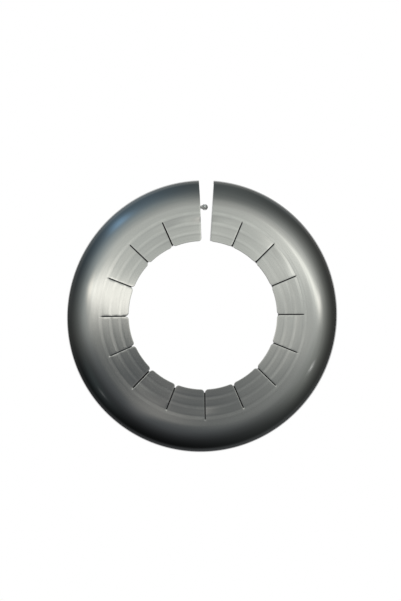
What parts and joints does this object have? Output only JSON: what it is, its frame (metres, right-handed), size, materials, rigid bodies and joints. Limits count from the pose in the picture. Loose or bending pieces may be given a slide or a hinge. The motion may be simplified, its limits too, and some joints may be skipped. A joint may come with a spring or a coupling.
{
  "type": "pipe rosette",
  "caption": "Domed split cover ring for a pipe where it leaves a wall, with flexible slotted fingers round the pipe opening and a ball-peg snap across its split.",
  "frame": {"origin": "centre of the ring, in the plane of the wall that its rim stands on", "axes": "+Z along the pipe, away from the wall; +Y from the centre towards the split; +X to the right of the split as seen from the front, towards the socket's side"},
  "size_m": [0.165, 0.165, 0.014],
  "materials": {
    "silver_lacquer": "moulded plastic with a glossy silver metallic lacquer"
  },
  "bodies": {
    "root": {"rosette": "silver_lacquer"}
  },
  "joints": []
}
